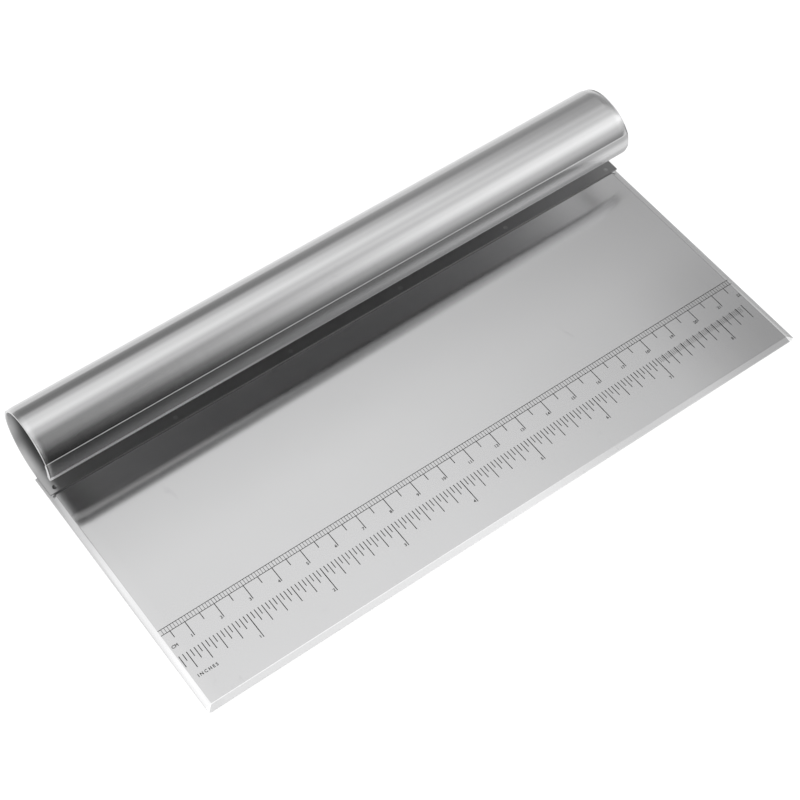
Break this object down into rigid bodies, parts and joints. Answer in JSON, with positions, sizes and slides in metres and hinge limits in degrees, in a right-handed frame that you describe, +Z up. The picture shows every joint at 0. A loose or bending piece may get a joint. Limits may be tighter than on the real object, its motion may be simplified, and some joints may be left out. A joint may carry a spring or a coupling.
{
  "type": "icing smoother",
  "caption": "Flat steel icing smoother with ground edges, centimetre and inch scales, and an open rolled handle whose hemmed lip curls back over a flange welded along the blade.",
  "frame": {"origin": "under the middle of the tool, on the surface that it lies on", "axes": "+X along the handle and the working edge, +Y from the working edge to the handle, +Z up out of the blade's upper face"},
  "size_m": [0.22, 0.11, 0.0285],
  "materials": {
    "blade_steel": "satin, fine brushed, with brighter ground edges",
    "handle_steel": "semi-bright, brushed round the roll",
    "weld_steel": "dull, dented by the electrode",
    "scale_marks": "flat dark etch"
  },
  "bodies": {
    "root": {"blade": "blade_steel", "handle": "handle_steel", "weld_1": "weld_steel", "weld_2": "weld_steel", "weld_3": "weld_steel", "weld_4": "weld_steel", "weld_5": "weld_steel", "weld_6": "weld_steel"}
  },
  "joints": []
}
